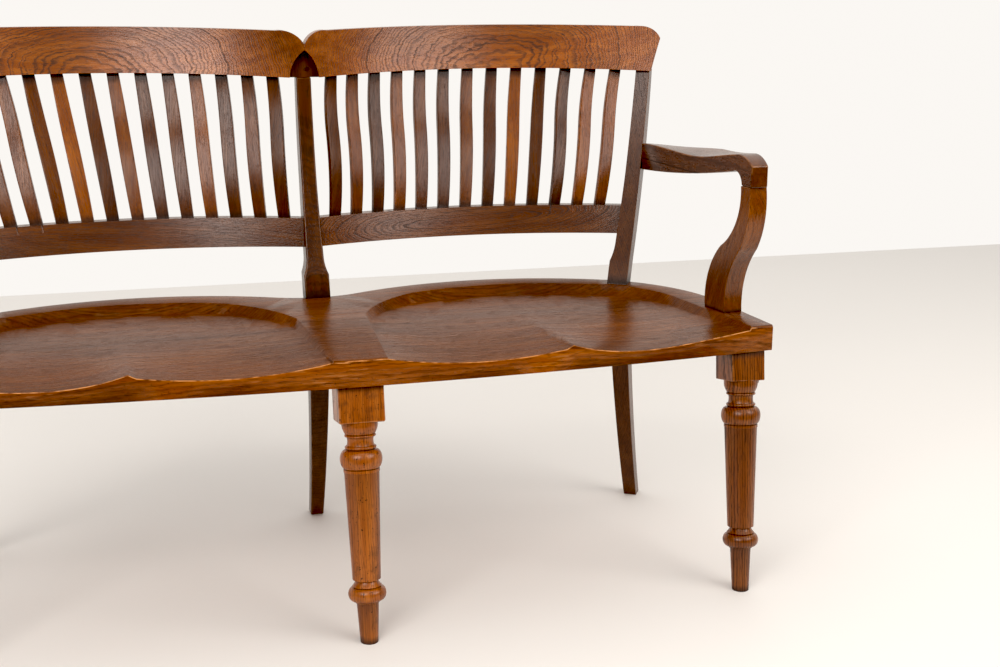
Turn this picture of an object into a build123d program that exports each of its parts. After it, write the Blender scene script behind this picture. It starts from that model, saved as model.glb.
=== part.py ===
from build123d import *
import os
from math import asin, cos, radians, sin

os.makedirs("parts", exist_ok=True)

# The bench: X runs along the seat, the front faces -Y and the feet stand on Z = 0.
# Reaches are measured forward from the back line, where the slats' feet stand beside the division.
back_line_y = 186.6
overrun = 20.0
seating_gap = 0.2

# Seat plank
seat_height = 441.0
seat_thickness = 42.0
seat_half_length = 686.0
seat_front_reach = 500.0
seat_front_corner_reach = 458.0
seat_dip_reach = 66.0
seat_division_half = 66.0
seat_division_reach = 52.0
seat_peak_x = 325.0
seat_peak_behind = 7.0
seat_shoulder_x = 556.0
seat_shoulder_reach = 60.0
seat_corner_x = 636.0
seat_corner_reach = 148.0
seat_flank_x = 671.0
seat_flank_reach = 262.0
seat_edge_round = 5.0

# Hollow of one seat
hollow_depth = 16.0
hollow_wall_taper = 34.0
hollow_inner_front_x = 38.0
hollow_inner_back_x = 57.0
hollow_inner_reach = 217.0
hollow_inner_corner_x = 98.0
hollow_inner_corner_reach = 137.0
hollow_left_x = 165.0
hollow_left_reach = 73.0
hollow_middle_x = 322.0
hollow_middle_reach = 42.0
hollow_right_x = 500.0
hollow_right_reach = 82.0
hollow_outer_corner_x = 577.0
hollow_outer_corner_reach = 140.0
hollow_outer_back_x = 612.0
hollow_outer_reach = 219.0
hollow_outer_front_x = 655.0

# Floor of the hollow: depths below the seat at the front edge and at the back
floor_inner_x = 36.0
floor_inner_lobe_x = 205.0
floor_inner_lobe_depth = 17.0
floor_step_x = 322.0
floor_step_depth = 7.0
pommel_x = 334.0
floor_outer_lobe_x = 402.0
floor_outer_lobe_depth = 18.0
floor_outer_middle_x = 505.0
floor_outer_middle_depth = 20.0
floor_outer_x = 672.0
floor_back_inner_depth = 10.0
floor_back_outer_depth = 9.0
floor_back_depth = 17.0
pommel_middle_reach = 395.0
pommel_middle_share = 0.45
pommel_tail_reach = 255.0
pommel_tail_share = 0.06

# Back: the first and last slats of one bay, at the lower rail's top and at the crest's underside
rail_top_z = 574.0
crest_bottom_z = 821.0
rail_first_x = 47.0
rail_first_behind = 0.0
rail_last_inside = 5.0
rail_last_behind = 2.0
rail_rise = 41.0
crest_first_x = 54.0
crest_first_behind = 52.0
crest_last_past = 49.0
crest_last_behind = 80.0
crest_rise = 65.0

# Slats
slat_count = 13
slat_width = 20.5
slat_thickness = 9.0
slat_tenon = 16.0
slat_lumbar_swell = 5.5
slat_turn_share = 0.6

# Lower rails
rail_height = 50.0
rail_thickness = 22.0
rail_proud = 3.0
rail_tenon_height = 32.0
rail_tenon_thickness = 10.0
rail_tenon_depth = 11.0
rail_past = 42.4
crest_past = 84.8

# Crest rails
crest_height = 81.0
crest_ear_drop = 5.0
crest_shoulder_drop = 1.5
crest_arch = 2.0
crest_inner_sag = 4.0
crest_outer_sag = 2.0
crest_thickness = 28.0
crest_top_thickness = 24.0
crest_proud = 12.0
crest_overrun = 6.0
crest_foot_half_gap = 26.0
crest_touch_height = 44.0
crest_ear_height = 53.0
crest_ear_bulge_x = 17.0
crest_ear_bulge_height = 25.0
crest_ear_brow_x = 11.0
crest_ear_brow_height = 67.0
crest_ear_round_x = 45.0
crest_outer_foot_past = 56.5
crest_outer_ear_past = 78.0
crest_outer_waist_past = 67.0
crest_outer_ear_height = 58.0
crest_outer_waist_height = 28.0
crest_outer_shoulder_past = 46.0
crest_outer_round_past = 70.0
crest_outer_round_height = 72.0

# Posts, each in one piece with the back leg below it
post_depth_seat = 40.0
post_depth_rail = 42.0
post_depth_top = 29.0
post_block_height = 39.0
post_notch_height = 27.0
post_notch_waist_height = 9.0
post_notch_waist = 3.0
post_waist_z = 628.0
post_tenon_height = 14.0
post_tenon_thickness = 10.0
leg_depth_middle = 34.0
leg_depth_foot = 28.0
leg_middle_z = 215.0
leg_foot_width = 24.5
centre_post_reach = 74.0
centre_block_lean = 12.0
centre_post_rail_back = 51.0
centre_post_top_back = 106.0
centre_leg_middle_back = 24.0
centre_leg_foot_back = 95.0
centre_block_width = 44.0
centre_shaft_width = 31.0
centre_waist_width = 27.0
centre_post_top_width = 26.0
centre_leg_width = 38.0
end_post_x = 551.0
end_post_reach = 97.0
end_post_turn = 31.5
end_block_lean = 22.0
end_post_rail_back = 77.0
end_post_top_back = 178.0
end_leg_middle_back = 24.0
end_leg_foot_back = 88.0
end_leg_splay = 17.0
end_block_width = 37.0
end_shaft_width = 31.0
end_waist_width = 28.0
end_post_top_width = 26.0
end_leg_width = 34.0

# Block between the crest rails
filler_depth = 30.0
plug_diameter = 10.0
plug_length = 6.0
plug_height = 14.0
plug_x = 6.0

# Front legs, as diameters and as heights above the floor below a seat whose underside is at leg_pattern_z
leg_pattern_z = 399.0
foot_diameter = 28.0
ankle_diameter = 35.0
ankle_z = 58.0
lower_ring_diameter = 58.5
lower_ring_bottom_z = 61.0
lower_ring_top_z = 83.0
lower_ring_neck_diameter = 47.0
groove_diameter = 38.0
groove_z = 90.0
column_foot_diameter = 42.0
column_foot_z = 97.0
column_head_diameter = 53.5
column_head_z = 264.0
upper_ring_diameter = 64.5
upper_ring_bottom_z = 270.0
upper_ring_top_z = 295.0
upper_ring_neck_diameter = 55.0
cove_diameter = 41.5
cove_bottom_z = 302.0
cove_top_z = 318.0
cove_lip_diameter = 51.0
bead_top_z = 321.0
bead_neck_diameter = 47.0
leg_block_bottom_z = 337.0
leg_block_neck_diameter = 56.0
leg_tenon_diameter = 30.0
leg_tenon_length = 18.0
middle_block_width = 70.0
middle_block_depth = 61.0
end_leg_block = 59.0
middle_leg_foot_reach = 531.0
middle_leg_top_reach = 458.0
end_leg_foot_x = 629.0
end_leg_top_x = 646.0
end_leg_foot_reach = 504.0
end_leg_top_reach = 431.0
end_leg_rise = 9.0
end_leg_block_rise = 10.0
end_leg_turn = 3.0

# Arm supports
support_x = 633.0
support_reach = 302.0
support_turn = 8.9
support_width = 36.0
support_waist_width = 33.0
support_top_z = 661.0
support_base = 60.0
support_hip_z = 487.0
support_hip_back = 2.0
support_hip_front = 62.0
support_belly_z = 554.0
support_belly_back = 41.0
support_belly_front = 96.0
support_neck_z = 600.0
support_neck_back = 83.0
support_neck_front = 116.0
support_top_back = 93.0
support_top_front = 119.0
support_tenon_diameter = 14.0
support_tenon_length = 16.0

# Arms, as places along the line of the inner face from the post
arm_start_past = 76.0
arm_start_reach = 2.0
arm_front_x = 651.0
arm_front_reach = 425.0
arm_post_top_z = 683.0
arm_post_bottom_z = 637.0
arm_tail = 44.0
arm_rise_run = 120.0
arm_rise_z = 689.5
arm_rise_outer_z = 693.5
arm_dip_run = 235.0
arm_dip_z = 690.5
arm_dip_outer_z = 702.0
arm_swell_run = 318.0
arm_swell_z = 702.5
arm_swell_outer_z = 706.5
arm_crown_run = 376.0
arm_crown_z = 711.0
arm_nose_run = 405.0
arm_nose_z = 706.5
arm_tip_z = 696.0
arm_under_run = 190.0
arm_under_z = 655.5
arm_throat_run = 357.0
arm_throat_z = 680.0
arm_hook_run = 381.0
arm_hook_z = 677.5
arm_knuckle_run = 390.0
arm_post_width = 22.0
arm_middle_width = 50.0
arm_front_width = 30.0

seat_bottom_z = seat_height - seat_thickness
crest_top_z = crest_bottom_z + crest_height
rail_bottom_z = rail_top_z - rail_height
rail_last_x = end_post_x - rail_last_inside
crest_last_x = end_post_x + crest_last_past
crest_outer_foot_x = crest_last_x + crest_outer_foot_past
crest_outer_ear_x = crest_last_x + crest_outer_ear_past
crest_outer_waist_x = crest_last_x + crest_outer_waist_past
crest_outer_shoulder_x = crest_last_x + crest_outer_shoulder_past
crest_outer_round_x = crest_last_x + crest_outer_round_past
arm_start_x = end_post_x + arm_start_past


def forward(reach):
    """Y of a place that many millimetres in front of the back line."""
    return back_line_y - reach


def back_place(z, run, behind):
    """Point of a bay's curved back at height z, and the level direction square to the curve there.

    run goes from 0 at the first slat to 1 at the last, and behind is measured from the slats' faces.
    """
    up_share = (z - rail_top_z) / (crest_bottom_z - rail_top_z)
    rail_first = Vector(rail_first_x, back_line_y + rail_first_behind)
    rail_last = Vector(rail_last_x, back_line_y + rail_last_behind)
    crest_first = Vector(crest_first_x, back_line_y + crest_first_behind)
    crest_last = Vector(crest_last_x, back_line_y + crest_last_behind)
    first = rail_first + (crest_first - rail_first) * up_share
    last = rail_last + (crest_last - rail_last) * up_share
    rise = rail_rise + (crest_rise - rail_rise) * up_share
    chord = last - first
    along = chord.normalized()
    rearward = Vector(-along.Y, along.X)
    radius = ((chord.length / 2) ** 2 + rise**2) / (2 * rise)
    centre = (first + last) * 0.5 - rearward * (radius - rise)
    angle = asin(chord.length / 2 / radius) * (2 * run - 1)
    outward = rearward * cos(angle) + along * sin(angle)
    place = centre + outward * (radius + behind)
    return Vector(place.X, place.Y, z), outward


# Mortises for the lower rails' tenons, from the first and last slat towards the posts
rail_middle_z = rail_top_z - rail_height / 2
rail_middle_behind = rail_thickness / 2 - rail_proud
mortise_planes = []
for run in (0, 1):
    place, rearward = back_place(rail_middle_z, run, rail_middle_behind)
    towards = Vector(rearward.Y, -rearward.X) * (2 * run - 1)
    mortise_planes.append(Plane(origin=place, x_dir=rearward, z_dir=towards))
inner_mortise_reach = (mortise_planes[0].origin.X - centre_shaft_width / 2 + rail_tenon_depth) / abs(
    mortise_planes[0].z_dir.X
)
end_plane = Plane(
    origin=(end_post_x, forward(end_post_reach), 0),
    x_dir=(cos(radians(end_post_turn)), -sin(radians(end_post_turn)), 0),
    z_dir=(-sin(radians(end_post_turn)), -cos(radians(end_post_turn)), 0),
)
end_inner_half = end_shaft_width / 2
end_face_run = end_plane.to_local_coords(mortise_planes[1].origin).X
end_towards = mortise_planes[1].z_dir.dot(end_plane.x_dir)
outer_mortise_reach = (-end_inner_half + rail_tenon_depth - end_face_run) / end_towards

# Posts with their back legs: one between the bays, and one at the outer end of a bay.
# The end post's outer side is a plain face, so its inner side alone is cut back above the block.
post_rows = (
    (
        Plane.XZ.offset(-forward(centre_post_reach)),
        (centre_block_lean, centre_post_rail_back, centre_post_top_back),
        (centre_leg_middle_back, centre_leg_foot_back),
        crest_bottom_z - crest_inner_sag,
        (centre_leg_width, centre_shaft_width, centre_waist_width, centre_post_top_width),
        (-centre_block_width / 2, centre_block_width / 2, 0, 0),
        [(mortise_planes[0], inner_mortise_reach)],
    ),
    (
        end_plane,
        (end_block_lean, end_post_rail_back, end_post_top_back),
        (end_leg_middle_back, end_leg_foot_back),
        crest_bottom_z,
        (end_leg_width, end_shaft_width, end_waist_width, end_post_top_width),
        (end_inner_half - end_block_width, end_inner_half, end_leg_splay, end_inner_half),
        [(mortise_planes[1], outer_mortise_reach)],
    ),
)
post_pieces = []
for face_plane, post_backs, leg_backs, top_z, widths, sides, mortises in post_rows:
    lean, rail_back, top_back = post_backs
    middle_back, foot_back = leg_backs
    leg_width, shaft, waist, top = widths
    block_inner, block_outer, splay, flat_side = sides
    side_plane = Plane(face_plane.origin, x_dir=-face_plane.z_dir, z_dir=face_plane.x_dir)
    block_top_z = seat_height + post_block_height
    notch_top_z = block_top_z + post_notch_height
    notch_middle_z = block_top_z + post_notch_waist_height
    top_inner = flat_side - top if flat_side else -top / 2
    top_outer = flat_side or top / 2
    waist_inner = flat_side - waist if flat_side else -waist / 2
    with BuildPart() as post:
        with BuildSketch(side_plane):
            with BuildLine():
                ThreePointArc((foot_back, 0), (middle_back, leg_middle_z), (0, seat_bottom_z))
                Polyline((0, seat_bottom_z), (0, seat_height), (lean, block_top_z))
                ThreePointArc((lean, block_top_z), (rail_back, rail_top_z), (top_back, top_z))
                Line((top_back, top_z), (top_back + post_depth_top, top_z))
                ThreePointArc(
                    (top_back + post_depth_top, top_z),
                    (rail_back + post_depth_rail, rail_top_z),
                    (post_depth_seat + lean, block_top_z),
                )
                Polyline(
                    (post_depth_seat + lean, block_top_z),
                    (post_depth_seat, seat_height),
                    (post_depth_seat, seat_bottom_z),
                )
                ThreePointArc(
                    (post_depth_seat, seat_bottom_z),
                    (middle_back + leg_depth_middle, leg_middle_z),
                    (foot_back + leg_depth_foot, 0),
                )
                Line((foot_back + leg_depth_foot, 0), (foot_back, 0))
            make_face()
        extrude(amount=centre_block_width, both=True)
        with BuildSketch(face_plane):
            with BuildLine():
                Polyline(
                    (splay - leg_foot_width / 2, 0),
                    (-leg_width / 2, seat_bottom_z),
                    (block_inner, seat_height),
                    (block_inner, block_top_z),
                )
                ThreePointArc(
                    (block_inner, block_top_z),
                    (-shaft / 2 - post_notch_waist, notch_middle_z),
                    (-shaft / 2, notch_top_z),
                )
                Polyline(
                    (-shaft / 2, notch_top_z),
                    (waist_inner, post_waist_z),
                    (top_inner, top_z),
                    (top_outer, top_z),
                )
                if flat_side:
                    Line((top_outer, top_z), (block_outer, seat_height))
                else:
                    Polyline((top_outer, top_z), (-waist_inner, post_waist_z), (shaft / 2, notch_top_z))
                    ThreePointArc(
                        (shaft / 2, notch_top_z),
                        (shaft / 2 + post_notch_waist, notch_middle_z),
                        (block_outer, block_top_z),
                    )
                    Line((block_outer, block_top_z), (block_outer, seat_height))
                Polyline(
                    (block_outer, seat_height),
                    (leg_width / 2, seat_bottom_z),
                    (splay + leg_foot_width / 2, 0),
                    (splay - leg_foot_width / 2, 0),
                )
            make_face()
        extrude(amount=seat_front_reach, both=True, mode=Mode.INTERSECT)
        with BuildSketch(Plane(side_plane.origin, side_plane.x_dir, (0, 0, 1)).offset(top_z)):
            with Locations((top_back + post_depth_top / 2, (top_inner + top_outer) / -2)):
                Rectangle(post_depth_top / 2, post_tenon_thickness)
        extrude(amount=post_tenon_height)
        for plane, length in mortises:
            with BuildSketch(plane):
                Rectangle(rail_tenon_thickness, rail_tenon_height)
            tongue = extrude(amount=length, mode=Mode.PRIVATE)
            add(tongue, mode=Mode.SUBTRACT)
            if not flat_side:
                mirror(tongue, about=Plane.YZ, mode=Mode.SUBTRACT)
    post_pieces.append(post.part)
centre_back_post, right_back_post = post_pieces


def keep(piece, name):
    """Name a finished piece and write its STEP file."""
    piece.label = name
    export_step(piece, f"parts/{name}.step")


# Front legs, turned below a square block: the middle leg and the right leg, whose rings stand higher
leg_rows = {
    "centre_front_leg": (
        Vector(0, forward(middle_leg_foot_reach), 0),
        Vector(0, forward(middle_leg_top_reach), seat_bottom_z),
        (middle_block_width, middle_block_depth, 0),
        (0, 0),
    ),
    "right_front_leg": (
        Vector(end_leg_foot_x, forward(end_leg_foot_reach), 0),
        Vector(end_leg_top_x, forward(end_leg_top_reach), seat_bottom_z),
        (end_leg_block, end_leg_block, end_leg_turn),
        (end_leg_rise, end_leg_block_rise),
    ),
}
front_legs = {}
leg_top_planes = {}
for name, (foot, top, (width, depth, turn), (rise, block_rise)) in leg_rows.items():
    axis_plane = Plane(origin=foot, x_dir=(1, 0, 0), z_dir=top - foot)
    profile_plane = Plane(origin=foot, x_dir=axis_plane.x_dir, z_dir=axis_plane.x_dir.cross(axis_plane.z_dir))
    leg_plane = axis_plane.rotated((0, 0, turn))
    stretch_share = (top - foot).length / leg_pattern_z
    block_bottom = (leg_block_bottom_z + block_rise) * stretch_share
    block_length = (top - foot).length - block_bottom
    rings = (
        ("line", ankle_diameter, ankle_z),
        ("line", lower_ring_neck_diameter, lower_ring_bottom_z),
        ("curve", lower_ring_diameter, (lower_ring_bottom_z + lower_ring_top_z) / 2),
        ("end", lower_ring_neck_diameter, lower_ring_top_z),
        ("line", groove_diameter, groove_z),
        ("line", column_foot_diameter, column_foot_z),
        ("line", column_head_diameter, column_head_z),
        ("line", upper_ring_neck_diameter, upper_ring_bottom_z),
        ("curve", upper_ring_diameter, (upper_ring_bottom_z + upper_ring_top_z) / 2),
        ("end", upper_ring_neck_diameter, upper_ring_top_z),
        ("line", cove_lip_diameter, cove_bottom_z),
        ("curve", cove_diameter, (cove_bottom_z + cove_top_z) / 2),
        ("end", cove_lip_diameter, cove_top_z),
        ("line", bead_neck_diameter, bead_top_z),
    )
    with BuildPart() as front_leg:
        with BuildSketch(leg_plane.offset(block_bottom)):
            Rectangle(width, depth)
        extrude(amount=block_length * 2)
        with BuildSketch(profile_plane):
            with BuildLine():
                here = (foot_diameter / 2, 0)
                Line((0, 0), here)
                for kind, diameter, level in rings:
                    there = (diameter / 2, (level + rise) * stretch_share)
                    if kind == "curve":
                        through = there
                        continue
                    if kind == "end":
                        Spline(here, through, there)
                    else:
                        Line(here, there)
                    here = there
                Polyline(here, (leg_block_neck_diameter / 2, block_bottom), (0, block_bottom), (0, 0))
            make_face()
        revolve(axis=Axis(foot, top - foot))
        split(bisect_by=Plane.XY.offset(seat_bottom_z), keep=Keep.BOTTOM)
        split(bisect_by=Plane.XY, keep=Keep.TOP)
        with BuildSketch(leg_plane.offset(block_bottom)):
            Circle(leg_tenon_diameter / 2)
        extrude(amount=block_length + leg_tenon_length)
    front_legs[name] = front_leg.part
    leg_top_planes[name] = leg_plane.offset((top - foot).length)

# Arm support: a bent side outline crossed with its front outline
support_face = Vector(sin(radians(support_turn)), -cos(radians(support_turn)), 0)
support_across = Vector(cos(radians(support_turn)), sin(radians(support_turn)), 0)
support_foot = Vector(support_x, forward(support_reach), 0)
support_side_plane = Plane(origin=support_foot, x_dir=support_face, z_dir=support_across * -1)
support_front_plane = Plane(origin=support_foot, x_dir=support_across, z_dir=support_face)
support_top_plane = Plane(support_foot, support_face, (0, 0, 1))
support_foot_centre = (support_base / 2, support_width / 2)
support_top_centre = ((support_top_back + support_top_front) / 2, support_waist_width / 2)
with BuildPart() as right_arm_support:
    with BuildSketch(support_side_plane):
        with BuildLine():
            Line((support_base, seat_height), (0, seat_height))
            ThreePointArc(
                (0, seat_height),
                (support_hip_back, support_hip_z),
                (support_belly_back, support_belly_z),
            )
            ThreePointArc(
                (support_belly_back, support_belly_z),
                (support_neck_back, support_neck_z),
                (support_top_back, support_top_z),
            )
            Line((support_top_back, support_top_z), (support_top_front, support_top_z))
            ThreePointArc(
                (support_top_front, support_top_z),
                (support_neck_front, support_neck_z),
                (support_belly_front, support_belly_z),
            )
            ThreePointArc(
                (support_belly_front, support_belly_z),
                (support_hip_front, support_hip_z),
                (support_base, seat_height),
            )
        make_face()
    extrude(amount=support_width * 2, both=True)
    with BuildSketch(support_front_plane):
        with BuildLine():
            Line((0, seat_height), (support_width, seat_height))
            Polyline(
                (support_width, seat_height),
                (support_width, support_belly_z),
                (support_waist_width, support_top_z),
                (0, support_top_z),
                (0, seat_height),
            )
        make_face()
    extrude(amount=seat_front_reach, both=True, mode=Mode.INTERSECT)
    with BuildSketch(support_top_plane.offset(seat_height)):
        with Locations(support_foot_centre):
            Circle(support_tenon_diameter / 2)
    extrude(amount=-support_tenon_length)
    with BuildSketch(support_top_plane.offset(support_top_z)):
        with Locations(support_top_centre):
            Circle(support_tenon_diameter / 2)
    extrude(amount=support_tenon_length)

# Arm: its side outline along the line of the inner face, crossed with its outline from above
arm_start = Vector(arm_start_x, forward(arm_start_reach), 0)
arm_front = Vector(arm_front_x, forward(arm_front_reach), 0)
arm_along = (arm_front - arm_start).normalized()
arm_length = (arm_front - arm_start).length
arm_outward = Vector(-arm_along.Y, arm_along.X)
arm_side_plane = Plane(origin=arm_start, x_dir=arm_along, z_dir=arm_outward * -1)
arm_top_plane = Plane(origin=arm_start, x_dir=arm_along, z_dir=(0, 0, 1))
post_side_plane = Plane(
    origin=end_plane.from_local_coords((end_shaft_width / 2, 0, 0)),
    x_dir=end_plane.z_dir,
    z_dir=end_plane.x_dir,
)
arm_sides = (
    (arm_side_plane, arm_rise_z, arm_dip_z, arm_swell_z),
    (arm_side_plane.offset(-arm_middle_width), arm_rise_outer_z, arm_dip_outer_z, arm_swell_outer_z),
)
with BuildPart() as right_arm:
    for plane, rise_z, dip_z, swell_z in arm_sides:
        with BuildSketch(plane):
            with BuildLine():
                Spline(
                    (-arm_tail, arm_post_top_z),
                    (arm_rise_run, rise_z),
                    (arm_dip_run, dip_z),
                    (arm_swell_run, swell_z),
                    (arm_crown_run, arm_crown_z),
                )
                ThreePointArc((arm_crown_run, arm_crown_z), (arm_nose_run, arm_nose_z), (arm_length, arm_tip_z))
                Line((arm_length, arm_tip_z), (arm_length, support_top_z))
                Line((arm_length, support_top_z), (arm_knuckle_run, support_top_z))
                ThreePointArc(
                    (arm_knuckle_run, support_top_z), (arm_hook_run, arm_hook_z), (arm_throat_run, arm_throat_z)
                )
                ThreePointArc(
                    (arm_throat_run, arm_throat_z), (arm_under_run, arm_under_z), (-arm_tail, arm_post_bottom_z)
                )
                Line((-arm_tail, arm_post_bottom_z), (-arm_tail, arm_post_top_z))
            make_face()
    loft()
    with BuildSketch(arm_top_plane.offset(seat_height)):
        with BuildLine():
            Polyline(
                (-arm_tail, arm_post_width / 2),
                (-arm_tail, 0),
                (arm_length, 0),
                (arm_length, arm_front_width),
            )
            ThreePointArc(
                (arm_length, arm_front_width),
                (arm_swell_run, (arm_front_width + arm_middle_width) / 2),
                (arm_dip_run, arm_middle_width),
            )
            ThreePointArc(
                (arm_dip_run, arm_middle_width),
                (arm_rise_run, arm_post_width * 2),
                (-arm_tail, arm_post_width / 2),
            )
        make_face()
    extrude(amount=seat_height, mode=Mode.INTERSECT)
    split(bisect_by=post_side_plane, keep=Keep.TOP)
    with BuildSketch(support_top_plane.offset(support_top_z)):
        with Locations(support_top_centre):
            Circle(support_tenon_diameter / 2 + seating_gap)
    extrude(amount=support_tenon_length + seating_gap, mode=Mode.SUBTRACT)

# Slats of the right bay
slats = []
slat_planes = []
for number in range(slat_count):
    run = number / (slat_count - 1)
    foot, foot_back = back_place(rail_top_z, run, 0)
    head, head_back = back_place(crest_bottom_z - crest_inner_sag, run, 0)
    rearward = (foot_back + head_back).normalized()
    upward = (head - foot).normalized()
    across = upward.cross(rearward).normalized() * -1
    plane = Plane(origin=foot, x_dir=upward.cross(across), z_dir=across)
    length = (head - foot).length
    slat_planes.append((plane, length))
    turn_level = length * slat_turn_share
    lumbar = (-slat_lumbar_swell, turn_level / 2)
    shoulder = (slat_lumbar_swell * (length - turn_level) / turn_level, (turn_level + length) / 2)
    with BuildPart() as slat:
        with BuildSketch(plane):
            with BuildLine():
                ThreePointArc((0, 0), lumbar, (0, turn_level))
                ThreePointArc((0, turn_level), shoulder, (0, length))
                Polyline(
                    (0, length),
                    (0, length + slat_tenon),
                    (slat_thickness, length + slat_tenon),
                    (slat_thickness, length),
                )
                ThreePointArc(
                    (slat_thickness, length),
                    (slat_thickness + shoulder[0], shoulder[1]),
                    (slat_thickness, turn_level),
                )
                ThreePointArc(
                    (slat_thickness, turn_level),
                    (slat_thickness + lumbar[0], lumbar[1]),
                    (slat_thickness, 0),
                )
                Polyline((slat_thickness, 0), (slat_thickness, -slat_tenon), (0, -slat_tenon), (0, 0))
            make_face()
        extrude(amount=slat_width / 2, both=True)
    slats.append(slat.part)

# Mortises for the slats' feet and heads
with BuildPart() as slat_feet:
    for plane, length in slat_planes:
        with BuildSketch(plane):
            with Locations((slat_thickness / 2, -slat_tenon / 2)):
                Rectangle(slat_thickness + 2 * seating_gap, slat_tenon * 3 + 2 * seating_gap)
        extrude(amount=slat_width / 2 + seating_gap, both=True)
with BuildPart() as slat_heads:
    for plane, length in slat_planes:
        with BuildSketch(plane):
            with Locations((slat_thickness / 2, length + slat_tenon / 2)):
                Rectangle(slat_thickness + 2 * seating_gap, slat_tenon * 3 + 2 * seating_gap)
        extrude(amount=slat_width / 2 + seating_gap, both=True)


def bay_band(level, past, behind_front, behind_rear):
    """Ends and middles of a curved strip of a bay's back at one height, running past its outer slats."""
    past_share = past / (rail_last_x - rail_first_x)
    runs = (-past_share, 0.5, 1 + past_share)
    front = [back_place(level, run, behind_front)[0] for run in runs]
    rear = [back_place(level, run, behind_rear)[0] for run in reversed(runs)]
    return [(p.X, p.Y) for p in front], [(p.X, p.Y) for p in rear]


# Lower rail of the right bay
with BuildPart() as right_lower_rail:
    for level in (rail_bottom_z, rail_top_z):
        front, rear = bay_band(level, rail_past, -rail_proud, rail_thickness - rail_proud)
        with BuildSketch(Plane.XY.offset(level)):
            with BuildLine():
                ThreePointArc(*front)
                Line(front[2], rear[0])
                ThreePointArc(*rear)
                Line(rear[2], front[0])
            make_face()
    loft()
    add(centre_back_post, mode=Mode.SUBTRACT)
    add(right_back_post, mode=Mode.SUBTRACT)
    add(slat_feet.part, mode=Mode.SUBTRACT)

# Crest rail of the right bay
touch_x = seating_gap / 2
ear_foot = (crest_foot_half_gap, crest_bottom_z - crest_inner_sag)
ear_touch = (touch_x, crest_bottom_z + crest_touch_height)
ear_bulge = (crest_ear_bulge_x, crest_bottom_z + crest_ear_bulge_height)
ear_tip = (touch_x, crest_bottom_z + crest_ear_height)
ear_brow = (crest_ear_brow_x, crest_bottom_z + crest_ear_brow_height)
ear_top = (crest_ear_round_x, crest_top_z - crest_ear_drop)
outer_shoulder = (crest_outer_shoulder_x, crest_top_z - crest_shoulder_drop)
outer_ear = (crest_outer_ear_x, crest_bottom_z + crest_outer_ear_height)
outer_foot = (crest_outer_foot_x, crest_bottom_z - crest_outer_sag)
underside_middle = ((ear_foot[0] + outer_foot[0]) / 2, crest_bottom_z + crest_arch)
with BuildPart() as right_crest_rail:
    for level, thickness in (
        (crest_bottom_z - crest_overrun, crest_thickness),
        (crest_top_z + crest_overrun, crest_top_thickness),
    ):
        front, rear = bay_band(level, crest_past, -crest_proud, thickness - crest_proud)
        with BuildSketch(Plane.XY.offset(level)):
            with BuildLine():
                ThreePointArc(*front)
                Line(front[2], rear[0])
                ThreePointArc(*rear)
                Line(rear[2], front[0])
            make_face()
    loft()
    with BuildSketch(Plane.XZ):
        with BuildLine():
            ThreePointArc(ear_foot, ear_bulge, ear_touch)
            Line(ear_touch, ear_tip)
            ThreePointArc(ear_tip, ear_brow, ear_top)
            ThreePointArc(ear_top, ((ear_top[0] + outer_shoulder[0]) / 2, crest_top_z), outer_shoulder)
            ThreePointArc(
                outer_shoulder, (crest_outer_round_x, crest_bottom_z + crest_outer_round_height), outer_ear
            )
            ThreePointArc(
                outer_ear, (crest_outer_waist_x, crest_bottom_z + crest_outer_waist_height), outer_foot
            )
            ThreePointArc(outer_foot, underside_middle, ear_foot)
        make_face()
    extrude(amount=seat_front_reach, both=True, mode=Mode.INTERSECT)
    add(right_back_post, mode=Mode.SUBTRACT)
    add(slat_heads.part, mode=Mode.SUBTRACT)

# Block between the crest rails' ears, with a plug over the fixing of the post
post_top_y = forward(centre_post_reach) + centre_post_top_back
block_plane = Plane.XZ.offset(-post_top_y)
plug_place = (plug_x, ear_foot[1] + plug_height)
with BuildPart() as crest_block:
    with BuildSketch(block_plane):
        with BuildLine():
            ThreePointArc(ear_foot, ear_bulge, ear_touch)
            mirror(about=Plane.YZ)
            Line((-touch_x, ear_touch[1]), ear_touch)
            Line((-ear_foot[0], ear_foot[1]), ear_foot)
        make_face()
    extrude(amount=-filler_depth)
    add(centre_back_post, mode=Mode.SUBTRACT)
    with BuildSketch(block_plane):
        with Locations(plug_place):
            Circle(plug_diameter / 2 + seating_gap / 2)
    extrude(amount=-plug_length, mode=Mode.SUBTRACT)
with BuildPart() as crest_plug:
    with BuildSketch(block_plane):
        with Locations(plug_place):
            Circle(plug_diameter / 2)
    extrude(amount=-plug_length)

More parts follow.
